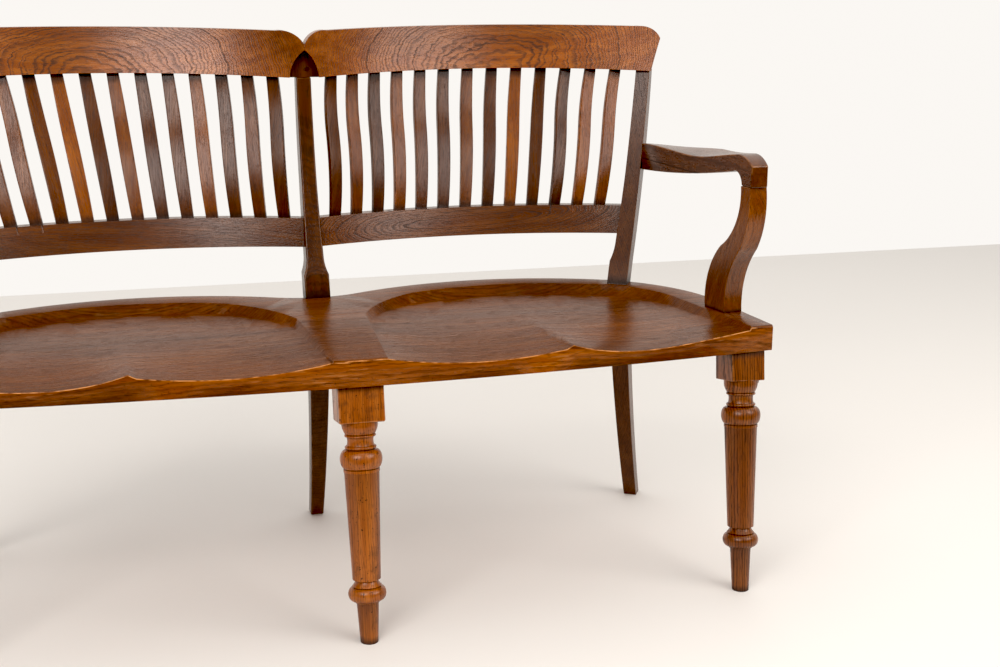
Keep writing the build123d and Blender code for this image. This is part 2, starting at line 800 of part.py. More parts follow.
# Cutter of one seat's hollow: its outline with sloping walls, crossed with a floor that rises to the pommel.
# Each section of the floor gives a reach, and how far the front's rise to the pommel has faded there.
floor_sections = (
    (seat_front_reach + overrun, 0),
    (pommel_middle_reach, 1 - pommel_middle_share),
    (pommel_tail_reach, 1 - pommel_tail_share),
    (0, 1),
)
front_depths = (
    0,
    floor_inner_lobe_depth,
    floor_step_depth,
    0,
    floor_outer_lobe_depth,
    floor_outer_middle_depth,
    0,
)
back_depths = (
    floor_back_inner_depth,
    floor_back_depth,
    hollow_depth,
    hollow_depth,
    floor_back_depth,
    floor_back_depth,
    floor_back_outer_depth,
)
floor_stations = (
    floor_inner_x,
    floor_inner_lobe_x,
    floor_step_x,
    pommel_x,
    floor_outer_lobe_x,
    floor_outer_middle_x,
    floor_outer_x,
)
with BuildPart() as hollow:
    for reach, fade_share in floor_sections:
        levels = [
            seat_height - front - (back - front) * fade_share for front, back in zip(front_depths, back_depths)
        ]
        inner, inner_lobe, step, pommel, outer_lobe, outer_middle, outer = zip(floor_stations, levels)
        with BuildSketch(Plane.XZ.offset(-forward(reach))):
            with BuildLine():
                ThreePointArc(inner, inner_lobe, step)
                Line(step, pommel)
                Spline(pommel, outer_lobe, outer_middle, outer)
                Polyline(
                    outer, (floor_outer_x, seat_height + overrun), (floor_inner_x, seat_height + overrun), inner
                )
            make_face()
    loft()
    with BuildSketch(Plane.XY.offset(seat_height)):
        with BuildLine():
            inner_front = (hollow_inner_front_x, forward(seat_front_reach + overrun))
            inner_back = (hollow_inner_back_x, forward(hollow_inner_reach))
            left = (hollow_left_x, forward(hollow_left_reach))
            right = (hollow_right_x, forward(hollow_right_reach))
            outer_back = (hollow_outer_back_x, forward(hollow_outer_reach))
            outer_front = (hollow_outer_front_x, forward(seat_front_reach + overrun))
            Line(inner_front, inner_back)
            ThreePointArc(inner_back, (hollow_inner_corner_x, forward(hollow_inner_corner_reach)), left)
            ThreePointArc(left, (hollow_middle_x, forward(hollow_middle_reach)), right)
            ThreePointArc(right, (hollow_outer_corner_x, forward(hollow_outer_corner_reach)), outer_back)
            Line(outer_back, outer_front)
            Line(outer_front, inner_front)
        make_face()
    extrude(amount=-floor_outer_middle_depth - overrun, taper=hollow_wall_taper, mode=Mode.INTERSECT)

# Seat plank
with BuildPart() as seat_plank:
    with BuildSketch(Plane.XY.offset(seat_bottom_z)):
        with BuildLine():
            division = (seat_division_half, forward(seat_division_reach))
            shoulder = (seat_shoulder_x, forward(seat_shoulder_reach))
            flank = (seat_flank_x, forward(seat_flank_reach))
            corner = (seat_half_length, forward(seat_front_corner_reach))
            ThreePointArc(division, (seat_peak_x, back_line_y + seat_peak_behind), shoulder)
            ThreePointArc(shoulder, (seat_corner_x, forward(seat_corner_reach)), flank)
            Line(flank, corner)
            mirror(about=Plane.YZ)
            ThreePointArc((-division[0], division[1]), (0, forward(seat_dip_reach)), division)
            ThreePointArc((-corner[0], corner[1]), (0, forward(seat_front_reach)), corner)
        make_face()
    extrude(amount=seat_thickness)
    fillet(seat_plank.faces().sort_by(Axis.Z)[-1].edges().sort_by(Axis.Y)[0], radius=seat_edge_round)
    add(hollow.part, mode=Mode.SUBTRACT)
    mirror(hollow.part, about=Plane.YZ, mode=Mode.SUBTRACT)
    add(centre_back_post, mode=Mode.SUBTRACT)
    add(right_back_post, mode=Mode.SUBTRACT)
    mirror(right_back_post, about=Plane.YZ, mode=Mode.SUBTRACT)
    for name, plane in leg_top_planes.items():
        with BuildSketch(plane.offset(-overrun)):
            Circle(leg_tenon_diameter / 2 + seating_gap)
        socket = extrude(amount=overrun + leg_tenon_length + seating_gap, mode=Mode.PRIVATE)
        add(socket, mode=Mode.SUBTRACT)
        if name != "centre_front_leg":
            mirror(socket, about=Plane.YZ, mode=Mode.SUBTRACT)
    with BuildSketch(support_top_plane.offset(seat_height - support_tenon_length - seating_gap)):
        with Locations(support_foot_centre):
            Circle(support_tenon_diameter / 2 + seating_gap)
    socket = extrude(amount=support_tenon_length + overrun, mode=Mode.PRIVATE)
    add(socket, mode=Mode.SUBTRACT)
    mirror(socket, about=Plane.YZ, mode=Mode.SUBTRACT)

keep(seat_plank.part, "seat_plank")
keep(centre_back_post, "centre_back_post")
keep(crest_block.part, "crest_block")
keep(crest_plug.part, "crest_plug")
keep(front_legs["centre_front_leg"], "centre_front_leg")
pairs = {
    "back_post": right_back_post,
    "front_leg": front_legs["right_front_leg"],
    "arm_support": right_arm_support.part,
    "arm": right_arm.part,
    "lower_rail": right_lower_rail.part,
    "crest_rail": right_crest_rail.part,
}
for number, slat in enumerate(slats):
    pairs[f"slat_{number + 1:02d}"] = slat
for name, piece in pairs.items():
    keep(piece, "right_" + name)
    with BuildPart() as other:
        mirror(piece, about=Plane.YZ)
    keep(other.part, "left_" + name)
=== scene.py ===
"""Oak chair-back settee: finishes for its seat, back, arms and turned legs, with a pale studio round it."""

import math

import bmesh
import bpy
from bpy.props import FloatProperty, FloatVectorProperty, IntProperty, PointerProperty
from mathutils import Matrix, Vector


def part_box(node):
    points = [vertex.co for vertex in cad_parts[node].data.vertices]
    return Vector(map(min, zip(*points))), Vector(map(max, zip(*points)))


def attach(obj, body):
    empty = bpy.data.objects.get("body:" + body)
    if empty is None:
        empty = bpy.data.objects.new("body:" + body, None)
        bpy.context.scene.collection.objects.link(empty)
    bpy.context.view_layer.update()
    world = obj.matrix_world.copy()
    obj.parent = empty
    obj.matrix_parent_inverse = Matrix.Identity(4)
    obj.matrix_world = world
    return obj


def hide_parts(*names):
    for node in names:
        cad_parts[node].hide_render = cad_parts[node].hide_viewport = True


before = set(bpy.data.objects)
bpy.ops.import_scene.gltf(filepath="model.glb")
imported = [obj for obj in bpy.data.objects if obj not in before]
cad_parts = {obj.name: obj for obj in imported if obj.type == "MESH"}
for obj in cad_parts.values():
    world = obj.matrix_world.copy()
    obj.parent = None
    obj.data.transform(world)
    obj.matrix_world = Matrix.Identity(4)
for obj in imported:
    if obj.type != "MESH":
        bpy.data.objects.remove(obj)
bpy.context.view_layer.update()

bl_info = {
    "name": "Chair-back settee",
    "version": (1, 0, 0),
    "blender": (4, 5, 0),
    "location": "View3D > Sidebar > Settee",
    "description": "Oak finishes, softened edges and a studio for a two-seat bench",
    "category": "Object",
}

SIDES = ("left", "right")
PLACES = ("left", "centre", "right")

# Lengths in metres
SAME_POINT = 0.00001
GROOVE_REACH = 0.012
SHARP_CORNER = 0.020
ARM_JOINT_HEIGHT = 0.661
BLOCK_BOTTOM = 0.3372
END_LEG_RISE = 0.009
LONG_EDGE = 0.03
FOOT_BAND = 0.0001
HEAD_BAND = 0.004
FOOT_OVERRUN = 0.006

FLAT_ANGLE = math.radians(0.4)
SHARP_ANGLE = math.radians(28)
SQUARE_ANGLE = math.radians(60)
LATHE_SIDES = 72
CURVE_STEPS = 12
# Depth of a hollow, as a share of its height
COVE_DEPTH = 0.07
# How fast the painted shade in a groove deepens with its depth
GROOVE_DARKNESS = 2.6

# The turning of a front leg from the foot up: kind, lower and upper height, lower, upper and fullest radius
TURNING = (
    ("line", 0.0000, 0.0615, 0.0138, 0.0170, 0),
    ("line", 0.0620, 0.0650, 0.0190, 0.0192, 0),
    ("bulge", 0.0650, 0.0862, 0.0215, 0.0215, 0.0293),
    ("line", 0.0864, 0.0874, 0.0200, 0.0200, 0),
    ("cove", 0.0876, 0.0965, 0.0228, 0.0168, 0),
    ("line", 0.0968, 0.0982, 0.0195, 0.0217, 0),
    ("line", 0.0982, 0.2645, 0.0217, 0.0268, 0),
    ("line", 0.2649, 0.2690, 0.0276, 0.0276, 0),
    ("line", 0.2692, 0.2700, 0.0262, 0.0262, 0),
    ("bulge", 0.2702, 0.2985, 0.0264, 0.0228, 0.0323),
    ("line", 0.2987, 0.2999, 0.0212, 0.0212, 0),
    ("bulge", 0.3001, 0.3045, 0.0222, 0.0216, 0.0240),
    ("cove", 0.3050, 0.3180, 0.0209, 0.0207, 0),
    ("bulge", 0.3182, 0.3218, 0.0216, 0.0226, 0.0240),
    ("line", 0.3220, 0.3226, 0.0218, 0.0218, 0),
    ("ovolo", 0.3228, 0.3372, 0.0232, 0.0277, 0),
    ("line", 0.3372, 0.3500, 0.0277, 0.0277, 0),
)

# How light each slat is, from the middle of the bench outwards
SLAT_TONES = {
    "right": (0.50, 0.78, 0.36, 0.80, 0.50, 0.40, 0.72, 0.42, 0.85, 0.34, 0.36, 0.92, 0.98),
    "left": (0.50, 0.62, 0.45, 0.90, 0.50, 0.40, 0.88, 0.48, 0.95, 0.52, 0.66, 0.58, 0.62),
}

# Name, place, aim, size, power and tint of each light
LIGHTS = (
    ("window_left", (-1.60, -2.55, 2.40), (0, 0.1, 0.8), (2.0, 1.45), 62, (1, 0.965, 0.93)),
    ("window_right", (2.25, -2.05, 2.15), (0, 0.1, 0.8), (2.0, 1.5), 42, (1, 0.965, 0.93)),
    ("overhead", (0.3, 0.6, 3.0), (0.1, 0.2, 0.4), (5.0, 4.0), 34, (1, 0.98, 0.96)),
)
FLOOR_REACH = 7.0
FLOOR_PAINT = (0.83, 0.795, 0.755, 1)
ROOM_FRONT = (0.045, 0.042, 0.040, 1)
ROOM_BACK = (1.0, 0.955, 0.90, 1)
ROOM_TOP = (0.75, 0.73, 0.70, 1)
ROOM_SOFT = (0.70, 0.688, 0.670, 1)
WALL_SEEN = (0.965, 0.935, 0.898, 1)


class SetteeOak(bpy.types.PropertyGroup):
    """Colours and figure of the oak."""

    heart: FloatVectorProperty(
        name="Heartwood",
        description="Colour of the varnished wood",
        subtype="COLOR",
        default=(0.180, 0.044, 0.0036),
        min=0,
        max=1,
    )
    pale: FloatVectorProperty(
        name="Pale wood",
        description="Colour of the lightest streaks",
        subtype="COLOR",
        default=(0.270, 0.078, 0.0085),
        min=0,
        max=1,
    )
    dark: FloatVectorProperty(
        name="Pores",
        description="Colour of the open pores and the latewood",
        subtype="COLOR",
        default=(0.022, 0.0050, 0.0011),
        min=0,
        max=1,
    )
    ray: FloatVectorProperty(
        name="Rays",
        description="Colour of the ray flecks",
        subtype="COLOR",
        default=(0.34, 0.140, 0.045),
        min=0,
        max=1,
    )
    ring: FloatProperty(
        name="Ring spacing",
        description="Distance between growth rings",
        unit="LENGTH",
        default=0.0024,
        min=0.0003,
    )
    gloss: FloatProperty(
        name="Varnish",
        description="Weight of the clear coat",
        subtype="FACTOR",
        default=0.30,
        min=0,
        max=1,
    )
    edge: FloatProperty(
        name="Worn edge",
        description="Radius of the softened arrises",
        unit="LENGTH",
        default=0.0016,
        min=0,
    )


class SetteeSlats(bpy.types.PropertyGroup):
    """Section and bend of the slats."""

    width: FloatProperty(
        name="Width",
        description="Width of one slat at its ends",
        unit="LENGTH",
        default=0.0210,
        min=0.001,
    )
    thickness: FloatProperty(
        name="Thickness",
        description="Front to rear, at the ends",
        unit="LENGTH",
        default=0.0090,
        min=0.001,
    )
    tenon: FloatProperty(
        name="Tenon",
        description="Length let into each rail",
        unit="LENGTH",
        default=0.016,
        min=0,
    )
    fullness: FloatProperty(
        name="Fullness",
        description="How much fuller a slat is half way up",
        default=0.13,
        min=0,
    )
    swell: FloatProperty(
        name="Swell",
        description="How far the bend stands forward",
        unit="LENGTH",
        default=0.0055,
    )
    turn: FloatProperty(
        name="Turn", description="Where the bend turns back", subtype="FACTOR", default=0.6, min=0.1, max=0.9
    )
    slope: FloatProperty(
        name="Grain slope", description="Most that the grain runs off the slat", subtype="ANGLE", default=0.24
    )
    seed: IntProperty(name="Seed", description="Which piece of oak each slat is cut from", default=7)


class SetteeStudio(bpy.types.PropertyGroup):
    """Camera and lights."""

    camera_place: FloatVectorProperty(
        name="Camera place",
        description="Where the camera stands",
        subtype="TRANSLATION",
        unit="LENGTH",
        default=(-0.3449, -2.2939, 0.9843),
    )
    pitch: FloatProperty(
        name="Pitch",
        description="How far the camera looks down",
        subtype="ANGLE",
        default=math.radians(14.11),
    )
    yaw: FloatProperty(
        name="Yaw",
        description="How far the camera looks to the right",
        subtype="ANGLE",
        default=math.radians(15.70),
    )
    roll: FloatProperty(
        name="Roll",
        description="Turn about the line of sight",
        subtype="ANGLE",
        default=math.radians(-0.232),
    )
    lens: FloatProperty(
        name="Lens",
        description="Focal length for a 36 mm frame",
        unit="CAMERA",
        default=50.62,
        min=1,
    )
    sky: FloatProperty(name="Room light", description="Strength of the pale room", default=1.0, min=0)
    black: FloatProperty(
        name="Black",
        description="Light that still prints black",
        default=0.020,
        min=0,
        max=0.2,
    )
    front: FloatProperty(
        name="Front",
        description="Where the floor ends in front",
        unit="LENGTH",
        default=-1.05,
    )
    wall: FloatProperty(
        name="Wall",
        description="Where the floor ends behind the bench",
        unit="LENGTH",
        default=2.35,
    )


def copy_nodes(nodes, name):
    """One merged mesh of the named CAD nodes, as a new object at the origin."""
    bm = bmesh.new()
    for node in nodes:
        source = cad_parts[node]
        part = source.data.copy()
        part.transform(source.matrix_world)
        bm.from_mesh(part)
        bpy.data.meshes.remove(part)
    bmesh.ops.remove_doubles(bm, verts=bm.verts, dist=2e-6)
    mesh = bpy.data.meshes.new(name)
    bm.to_mesh(mesh)
    bm.free()
    piece = bpy.data.objects.new(name, mesh)
    bpy.context.scene.collection.objects.link(piece)
    return piece


def take_result(piece, modifier):
    """Gives the piece the mesh that its modifier makes, and removes the modifier."""
    made = bpy.data.meshes.new_from_object(piece.evaluated_get(bpy.context.evaluated_depsgraph_get()))
    piece.modifiers.remove(modifier)
    made.name = piece.name
    piece.data = made


def even_shading(piece, sharp=38.0):
    """Keeps the flats flat and lets the rounded arrises turn the light."""
    piece.data.shade_smooth()
    piece.data.set_sharp_from_angle(angle=math.radians(sharp))
    modifier = piece.modifiers.new("even", "WEIGHTED_NORMAL")
    modifier.keep_sharp = True
    take_result(piece, modifier)


def open_piece(piece):
    """The piece's mesh for editing, with its flats merged and a layer for how worn each vertex is."""
    bm = bmesh.new()
    bm.from_mesh(piece.data)
    arris = bm.verts.layers.float.new("arris")
    bmesh.ops.dissolve_limit(bm, angle_limit=FLAT_ANGLE, verts=bm.verts, edges=bm.edges)
    return bm, arris


def close_piece(piece, bm):
    """Splits the large faces, stores the edited mesh and shades it."""
    bmesh.ops.triangulate(bm, faces=[face for face in bm.faces if len(face.verts) > 4])
    bm.to_mesh(piece.data)
    bm.free()
    even_shading(piece)


def is_sharp(edge, angle):
    return len(edge.link_faces) == 2 and edge.calc_face_angle(0) > angle


def bevelled_arrises(bm, edges, radius, segments, arris, clamp=True):
    """Bevels the edges, and says how worn each vertex is: 1 along the middle of a rounded arris."""
    made = bmesh.ops.bevel(
        bm,
        geom=edges,
        offset=radius,
        offset_type="OFFSET",
        segments=segments,
        profile=0.5,
        affect="EDGES",
        clamp_overlap=clamp,
    )
    rounded = set(made["faces"])
    for face in rounded:
        for vertex in face.verts:
            if all(other in rounded for other in vertex.link_faces):
                vertex[arris] = 1.0


def soften(piece, radius, segments=2):
    """Rounds the arrises of a mesh."""
    bm, arris = open_piece(piece)
    edges = [edge for edge in bm.edges if is_sharp(edge, SHARP_ANGLE)]
    bevelled_arrises(bm, edges, radius, segments, arris)
    close_piece(piece, bm)


def wear_front(piece, radius):
    """Rounds the upper arris along the front of the seat, where legs have rubbed it."""
    bm, arris = open_piece(piece)
    front_end = max(vertex.co.x for vertex in bm.verts) - SHARP_CORNER
    upper = [
        edge
        for edge in bm.edges
        if len(edge.link_faces) == 2
        and min(face.normal.y for face in edge.link_faces) < -0.85
        and max(face.normal.z for face in edge.link_faces) > 0.5
        and max(abs(vertex.co.x) for vertex in edge.verts) < front_end
    ]
    bevelled_arrises(bm, upper, radius, 3, arris, clamp=False)
    bmesh.ops.remove_doubles(bm, verts=bm.verts, dist=SAME_POINT)
    close_piece(piece, bm)


def mark_grooves(piece):
    """Stores how deep in a groove of the turning each vertex lies, as a mask for painted shade in the
    grooves.
    """
    bm = bmesh.new()
    bm.from_mesh(piece.data)
    bm.normal_update()
    layer = bm.verts.layers.float.new("corner")
    for vertex in bm.verts:
        ways = [edge.other_vert(vertex).co - vertex.co for edge in vertex.link_edges]
        short = [way.normalized().dot(vertex.normal) for way in ways if 0 < way.length < GROOVE_REACH]
        if short:
            vertex[layer] = min(1.0, max(0.0, GROOVE_DARKNESS * sum(short) / len(short)))
    bm.to_mesh(piece.data)
    bm.free()


def lay_grain(piece, along, rings, pith):
    """Stores where each vertex lies in its plank: X along the fibres, Y and Z across them from the pith."""
    along = Vector(along).normalized()
    cross = along.cross(Vector(rings)).normalized()
    rings = cross.cross(along)
    place = Vector(pith)
    grain = piece.data.attributes.new("plank", "FLOAT_VECTOR", "POINT")
    for vertex in piece.data.vertices:
        co = vertex.co
        grain.data[vertex.index].vector = Vector((co.dot(along), co.dot(rings), co.dot(cross))) + place


def group_socket(tree, name, way, kind, default=None, low=None, high=None):
    """Adds a named socket to a node group."""
    socket = tree.interface.new_socket(name=name, in_out=way, socket_type=kind)
    if default is not None:
        socket.default_value = default
    if low is not None:
        socket.min_value = low
        socket.max_value = high


class Wiring:
    """Short ways to add and join shader nodes in one tree."""

    def __init__(self, tree):
        self.tree = tree

    def put(self, value, socket):
        if isinstance(value, bpy.types.NodeSocket):
            self.tree.links.new(value, socket)
        elif value is not None:
            socket.default_value = value

    def math(self, kind, *values, clamp=False):
        node = self.tree.nodes.new("ShaderNodeMath")
        node.operation = kind
        node.use_clamp = clamp
        for value, socket in zip(values, node.inputs):
            self.put(value, socket)
        return node.outputs[0]

    def times(self, first, second):
        return self.math("MULTIPLY", first, second)

    def vector(self, kind, *values):
        node = self.tree.nodes.new("ShaderNodeVectorMath")
        node.operation = kind
        for value, socket in zip(values, node.inputs):
            self.put(value, socket)
        return node.outputs["Value" if kind in ("LENGTH", "DOT_PRODUCT") else "Vector"]

    def noise(self, vector, scale=1.0, detail=2.0, rough=0.5):
        node = self.tree.nodes.new("ShaderNodeTexNoise")
        self.put(vector, node.inputs["Vector"])
        self.put(scale, node.inputs["Scale"])
        self.put(detail, node.inputs["Detail"])
        self.put(rough, node.inputs["Roughness"])
        return node.outputs["Fac"]

    def fibrous(self, plank, along, across, detail=2.0, rough=0.5):
        """Noise with so many changes to the metre along the fibres and across them."""
        return self.noise(self.vector("MULTIPLY", plank, (along, across, across)), 1.0, detail, rough)

    def attribute(self, name, output):
        node = self.tree.nodes.new("ShaderNodeAttribute")
        node.attribute_name = name
        return node.outputs[output]

    def split(self, vector):
        node = self.tree.nodes.new("ShaderNodeSeparateXYZ")
        self.put(vector, node.inputs[0])
        return node.outputs

    def join(self, x, y, z):
        node = self.tree.nodes.new("ShaderNodeCombineXYZ")
        for value, socket in zip((x, y, z), node.inputs):
            self.put(value, socket)
        return node.outputs[0]

    def step(self, value, low, high, out_low=0.0, out_high=1.0):
        """Goes smoothly from out_low to out_high while the value goes from low to high."""
        node = self.tree.nodes.new("ShaderNodeMapRange")
        node.interpolation_type = "SMOOTHSTEP"
        names = ("Value", "From Min", "From Max", "To Min", "To Max")
        for given, name in zip((value, low, high, out_low, out_high), names):
            self.put(given, node.inputs[name])
        return node.outputs[0]

    def mix(self, factor, first, second):
        node = self.tree.nodes.new("ShaderNodeMix")
        node.data_type = "RGBA"
        self.put(factor, node.inputs["Factor"])
        self.put(first, node.inputs["A"])
        self.put(second, node.inputs["B"])
        return node.outputs["Result"]


def oak_figure():
    """Growth rings, pores, ray flecks and slow changes of tone in one plank."""
    tree = bpy.data.node_groups.new("Oak figure", "ShaderNodeTree")
    group_socket(tree, "Plank", "INPUT", "NodeSocketVector")
    group_socket(tree, "Ring Spacing", "INPUT", "NodeSocketFloat", 0.0024, 0.0001, 0.1)
    group_socket(tree, "Ring Wander", "INPUT", "NodeSocketFloat", 0.012, 0.0, 0.1)
    group_socket(tree, "Heart", "INPUT", "NodeSocketColor", (0.26, 0.07, 0.01, 1.0))
    group_socket(tree, "Pale", "INPUT", "NodeSocketColor", (0.4, 0.12, 0.02, 1.0))
    group_socket(tree, "Dark", "INPUT", "NodeSocketColor", (0.04, 0.01, 0.002, 1.0))
    group_socket(tree, "Ray", "INPUT", "NodeSocketColor", (0.5, 0.2, 0.07, 1.0))
    group_socket(tree, "Ray Flecks", "INPUT", "NodeSocketFloat", 0.0, 0.0, 1.0)
    group_socket(tree, "Ring Contrast", "INPUT", "NodeSocketFloat", 0.6, 0.0, 1.0)
    group_socket(tree, "Color", "OUTPUT", "NodeSocketColor")
    group_socket(tree, "Relief", "OUTPUT", "NodeSocketFloat")
    group_socket(tree, "Tone", "OUTPUT", "NodeSocketFloat")
    group_socket(tree, "Open Grain", "OUTPUT", "NodeSocketFloat")
    w = Wiring(tree)
    given = tree.nodes.new("NodeGroupInput").outputs
    result = tree.nodes.new("NodeGroupOutput").inputs
    plank = given["Plank"]
    contrast = given["Ring Contrast"]

    # How far a point is from the pith, counted in growth rings
    _x, y, z = w.split(plank)
    slow = w.fibrous(plank, 2.4, 8.0)
    ripple = w.fibrous(plank, 38.0, 75.0)
    wander = w.times(w.math("SUBTRACT", slow, 0.5), given["Ring Wander"])
    wander = w.math("ADD", wander, w.times(w.math("SUBTRACT", ripple, 0.5), 0.0040))
    radius = w.math("ADD", w.vector("LENGTH", w.join(0.0, y, z)), wander)
    count = w.math("DIVIDE", radius, given["Ring Spacing"])
    uneven = w.noise(w.join(w.times(count, 0.45), 0.0, 0.0), 1.0, 1.0)
    count = w.math("ADD", count, w.times(uneven, 2.2))

    # The dark end of each ring, broken by the fibres, and the open pores
    phase = w.math("FRACT", count)
    strength = w.noise(w.join(w.times(w.math("FLOOR", count), 0.71), 4.0, 0.0), 1.0, 1.0)
    fibre = w.fibrous(plank, 50.0, 560.0, rough=0.6)
    late = w.times(w.step(phase, 0.38, 0.72), w.step(phase, 1.0, 0.88))
    late = w.times(late, w.step(strength, 0.25, 0.65, 0.35, 1.0))
    late = w.times(w.times(late, w.step(fibre, 0.30, 0.58, 0.45, 1.0)), contrast)
    pores = w.step(fibre, 0.54, 0.70)

    # Short pale rays in bands
    fleck = w.fibrous(plank, 26.0, 240.0, rough=0.55)
    band = w.fibrous(plank, 6.0, 20.0, detail=1.0)
    fleck = w.times(w.step(fleck, 0.56, 0.70), w.step(band, 0.36, 0.60, 0.25, 1.0))

    streak = w.fibrous(plank, 4.0, 75.0, detail=4.0, rough=0.65)
    base = w.mix(w.step(streak, 0.36, 0.70), given["Heart"], given["Pale"])
    base = w.mix(late, base, given["Dark"])
    base = w.mix(w.times(pores, 0.55), base, given["Dark"])
    base = w.mix(w.times(fleck, given["Ray Flecks"]), base, given["Ray"])
    open_grain = w.math("MAXIMUM", late, w.times(pores, 0.6))
    w.put(base, result["Color"])
    w.put(w.math("SUBTRACT", 1.0, open_grain), result["Relief"])
    w.put(w.fibrous(plank, 3.0, 11.0), result["Tone"])
    w.put(open_grain, result["Open Grain"])
    return tree


def handling_and_shade():
    """Where hands, feet and cloths have been: pale arrises and small knocks, with grime and painted shade in
    the grooves and at the joints.
    """
    tree = bpy.data.node_groups.new("Handling and shade", "ShaderNodeTree")
    group_socket(tree, "Color", "INPUT", "NodeSocketColor", (0.3, 0.1, 0.02, 1.0))
    group_socket(tree, "Place", "INPUT", "NodeSocketVector")
    group_socket(tree, "Arris", "INPUT", "NodeSocketFloat", 0.0, 0.0, 1.0)
    group_socket(tree, "Arris Wear", "INPUT", "NodeSocketFloat", 0.5, 0.0, 1.0)
    group_socket(tree, "Grime And Painted Shade", "INPUT", "NodeSocketFloat", 0.0, 0.0, 1.0)
    group_socket(tree, "Knocks", "INPUT", "NodeSocketFloat", 0.3, 0.0, 1.0)
    group_socket(tree, "Worn Color", "INPUT", "NodeSocketColor", (0.5, 0.2, 0.07, 1.0))
    group_socket(tree, "Grime And Shade Color", "INPUT", "NodeSocketColor", (0.012, 0.004, 0.002, 1.0))
    group_socket(tree, "Color", "OUTPUT", "NodeSocketColor")
    group_socket(tree, "Dull", "OUTPUT", "NodeSocketFloat")
    w = Wiring(tree)
    given = tree.nodes.new("NodeGroupInput").outputs
    result = tree.nodes.new("NodeGroupOutput").inputs
    place = given["Place"]
    corner = given["Grime And Painted Shade"]
    grime_and_shade = given["Grime And Shade Color"]
    patchy = w.step(w.noise(place, 60.0, 3.0, 0.6), 0.36, 0.62)
    worn = w.times(w.times(given["Arris"], patchy), given["Arris Wear"])
    spots = w.step(w.noise(place, 210.0), 0.66, 0.72)
    smudge = w.step(w.noise(place, 34.0, 3.0, 0.6), 0.56, 0.72, 0.0, 0.45)
    knocks = w.times(w.math("MAXIMUM", spots, smudge), given["Knocks"])
    shown = w.mix(worn, given["Color"], given["Worn Color"])
    shown = w.mix(knocks, shown, grime_and_shade)
    # Grime and painted shade in the grooves, at the slat ends and at the joints
    shown = w.mix(w.times(corner, 0.85), shown, grime_and_shade)
    w.put(shown, result["Color"])
    w.put(w.math("MAXIMUM", corner, knocks), result["Dull"])
    return tree


def tinted(value, lightness):
    """The colour made lighter or darker, as a colour socket takes it."""
    return tuple(min(1.0, channel * lightness) for channel in value) + (1.0,)


def oak(
    name,
    settings,
    groups,
    lightness=1.0,
    rays=0.0,
    rings=0.6,
    spacing=None,
    wander=0.012,
    roughness=0.30,
    coat=None,
    shine=0.40,
    wear=0.4,
    knocks=0.25,
    joints=(),
    reach=0.010,
    toned=False,
    top_shade=1.0,
    worn=1.0,
):
    """Varnished oak of one kind of piece.

    joints are the heights where grime and painted shade darken the wood, and reach is how far the darkening
    spreads.
    top_shade darkens faces that look up: grime on the seat's top, and painted shade on the walls of its
    hollows. toned lets each slat have its own tone.
    """
    material = bpy.data.materials.new(name)
    material.use_nodes = True
    tree = material.node_tree
    tree.nodes.clear()
    w = Wiring(tree)
    out = tree.nodes.new("ShaderNodeOutputMaterial")
    wood = tree.nodes.new("ShaderNodeBsdfPrincipled")
    tree.links.new(wood.outputs[0], out.inputs["Surface"])

    figure, use = groups
    grain = tree.nodes.new("ShaderNodeGroup")
    grain.node_tree = figure
    w.put(w.attribute("plank", "Vector"), grain.inputs["Plank"])
    for socket, given in (
        ("Heart", settings.heart),
        ("Pale", settings.pale),
        ("Dark", settings.dark),
        ("Ray", settings.ray),
    ):
        grain.inputs[socket].default_value = tinted(given, lightness)
    grain.inputs["Ring Spacing"].default_value = spacing or settings.ring
    grain.inputs["Ring Wander"].default_value = wander
    grain.inputs["Ray Flecks"].default_value = rays
    grain.inputs["Ring Contrast"].default_value = rings

    place = tree.nodes.new("ShaderNodeTexCoord").outputs["Object"]
    # Mask of grime and painted shade: the grooves, the slat ends, and bands at the joint heights
    corner = w.attribute("corner", "Fac")
    height = w.split(place)[2]
    for joint in joints:
        near = w.math("ABSOLUTE", w.math("SUBTRACT", height, joint))
        corner = w.math("MAXIMUM", corner, w.step(near, reach, 0.0))

    shade = w.step(grain.outputs["Tone"], 0.3, 0.7, 0.80, 1.20)
    # Faces that look up are darkened: grime on the seat's top, and painted shade on the walls of its hollows
    if top_shade != 1.0:
        facing = w.split(tree.nodes.new("ShaderNodeNewGeometry").outputs["Normal"])[2]
        shade = w.times(shade, w.step(facing, 0.10, 0.55, 1.0, top_shade))
    if toned:
        shade = w.times(shade, w.attribute("tone", "Fac"))
    used = tree.nodes.new("ShaderNodeGroup")
    used.node_tree = use
    w.put(w.vector("MULTIPLY", grain.outputs["Color"], w.join(shade, shade, shade)), used.inputs["Color"])
    w.put(place, used.inputs["Place"])
    w.put(w.attribute("arris", "Fac"), used.inputs["Arris"])
    w.put(corner, used.inputs["Grime And Painted Shade"])
    used.inputs["Arris Wear"].default_value = wear
    used.inputs["Knocks"].default_value = knocks
    used.inputs["Worn Color"].default_value = tinted(settings.ray, worn * (0.9 + 0.5 * lightness))
    w.put(used.outputs["Color"], wood.inputs["Base Color"])

    open_grain = grain.outputs["Open Grain"]
    rough = w.math("ADD", roughness, w.times(open_grain, 0.22))
    w.put(w.math("ADD", rough, w.times(used.outputs["Dull"], 0.25)), wood.inputs["Roughness"])
    wood.inputs["Specular IOR Level"].default_value = shine
    full_coat = settings.gloss if coat is None else coat
    w.put(w.step(open_grain, 0.1, 0.9, full_coat, full_coat * 0.3), wood.inputs["Coat Weight"])
    wood.inputs["Coat Roughness"].default_value = 0.20
    bump = tree.nodes.new("ShaderNodeBump")
    bump.inputs["Strength"].default_value = 0.5
    bump.inputs["Distance"].default_value = 0.0003
    tree.links.new(grain.outputs["Relief"], bump.inputs["Height"])
    tree.links.new(bump.outputs["Normal"], wood.inputs["Normal"])
    return material


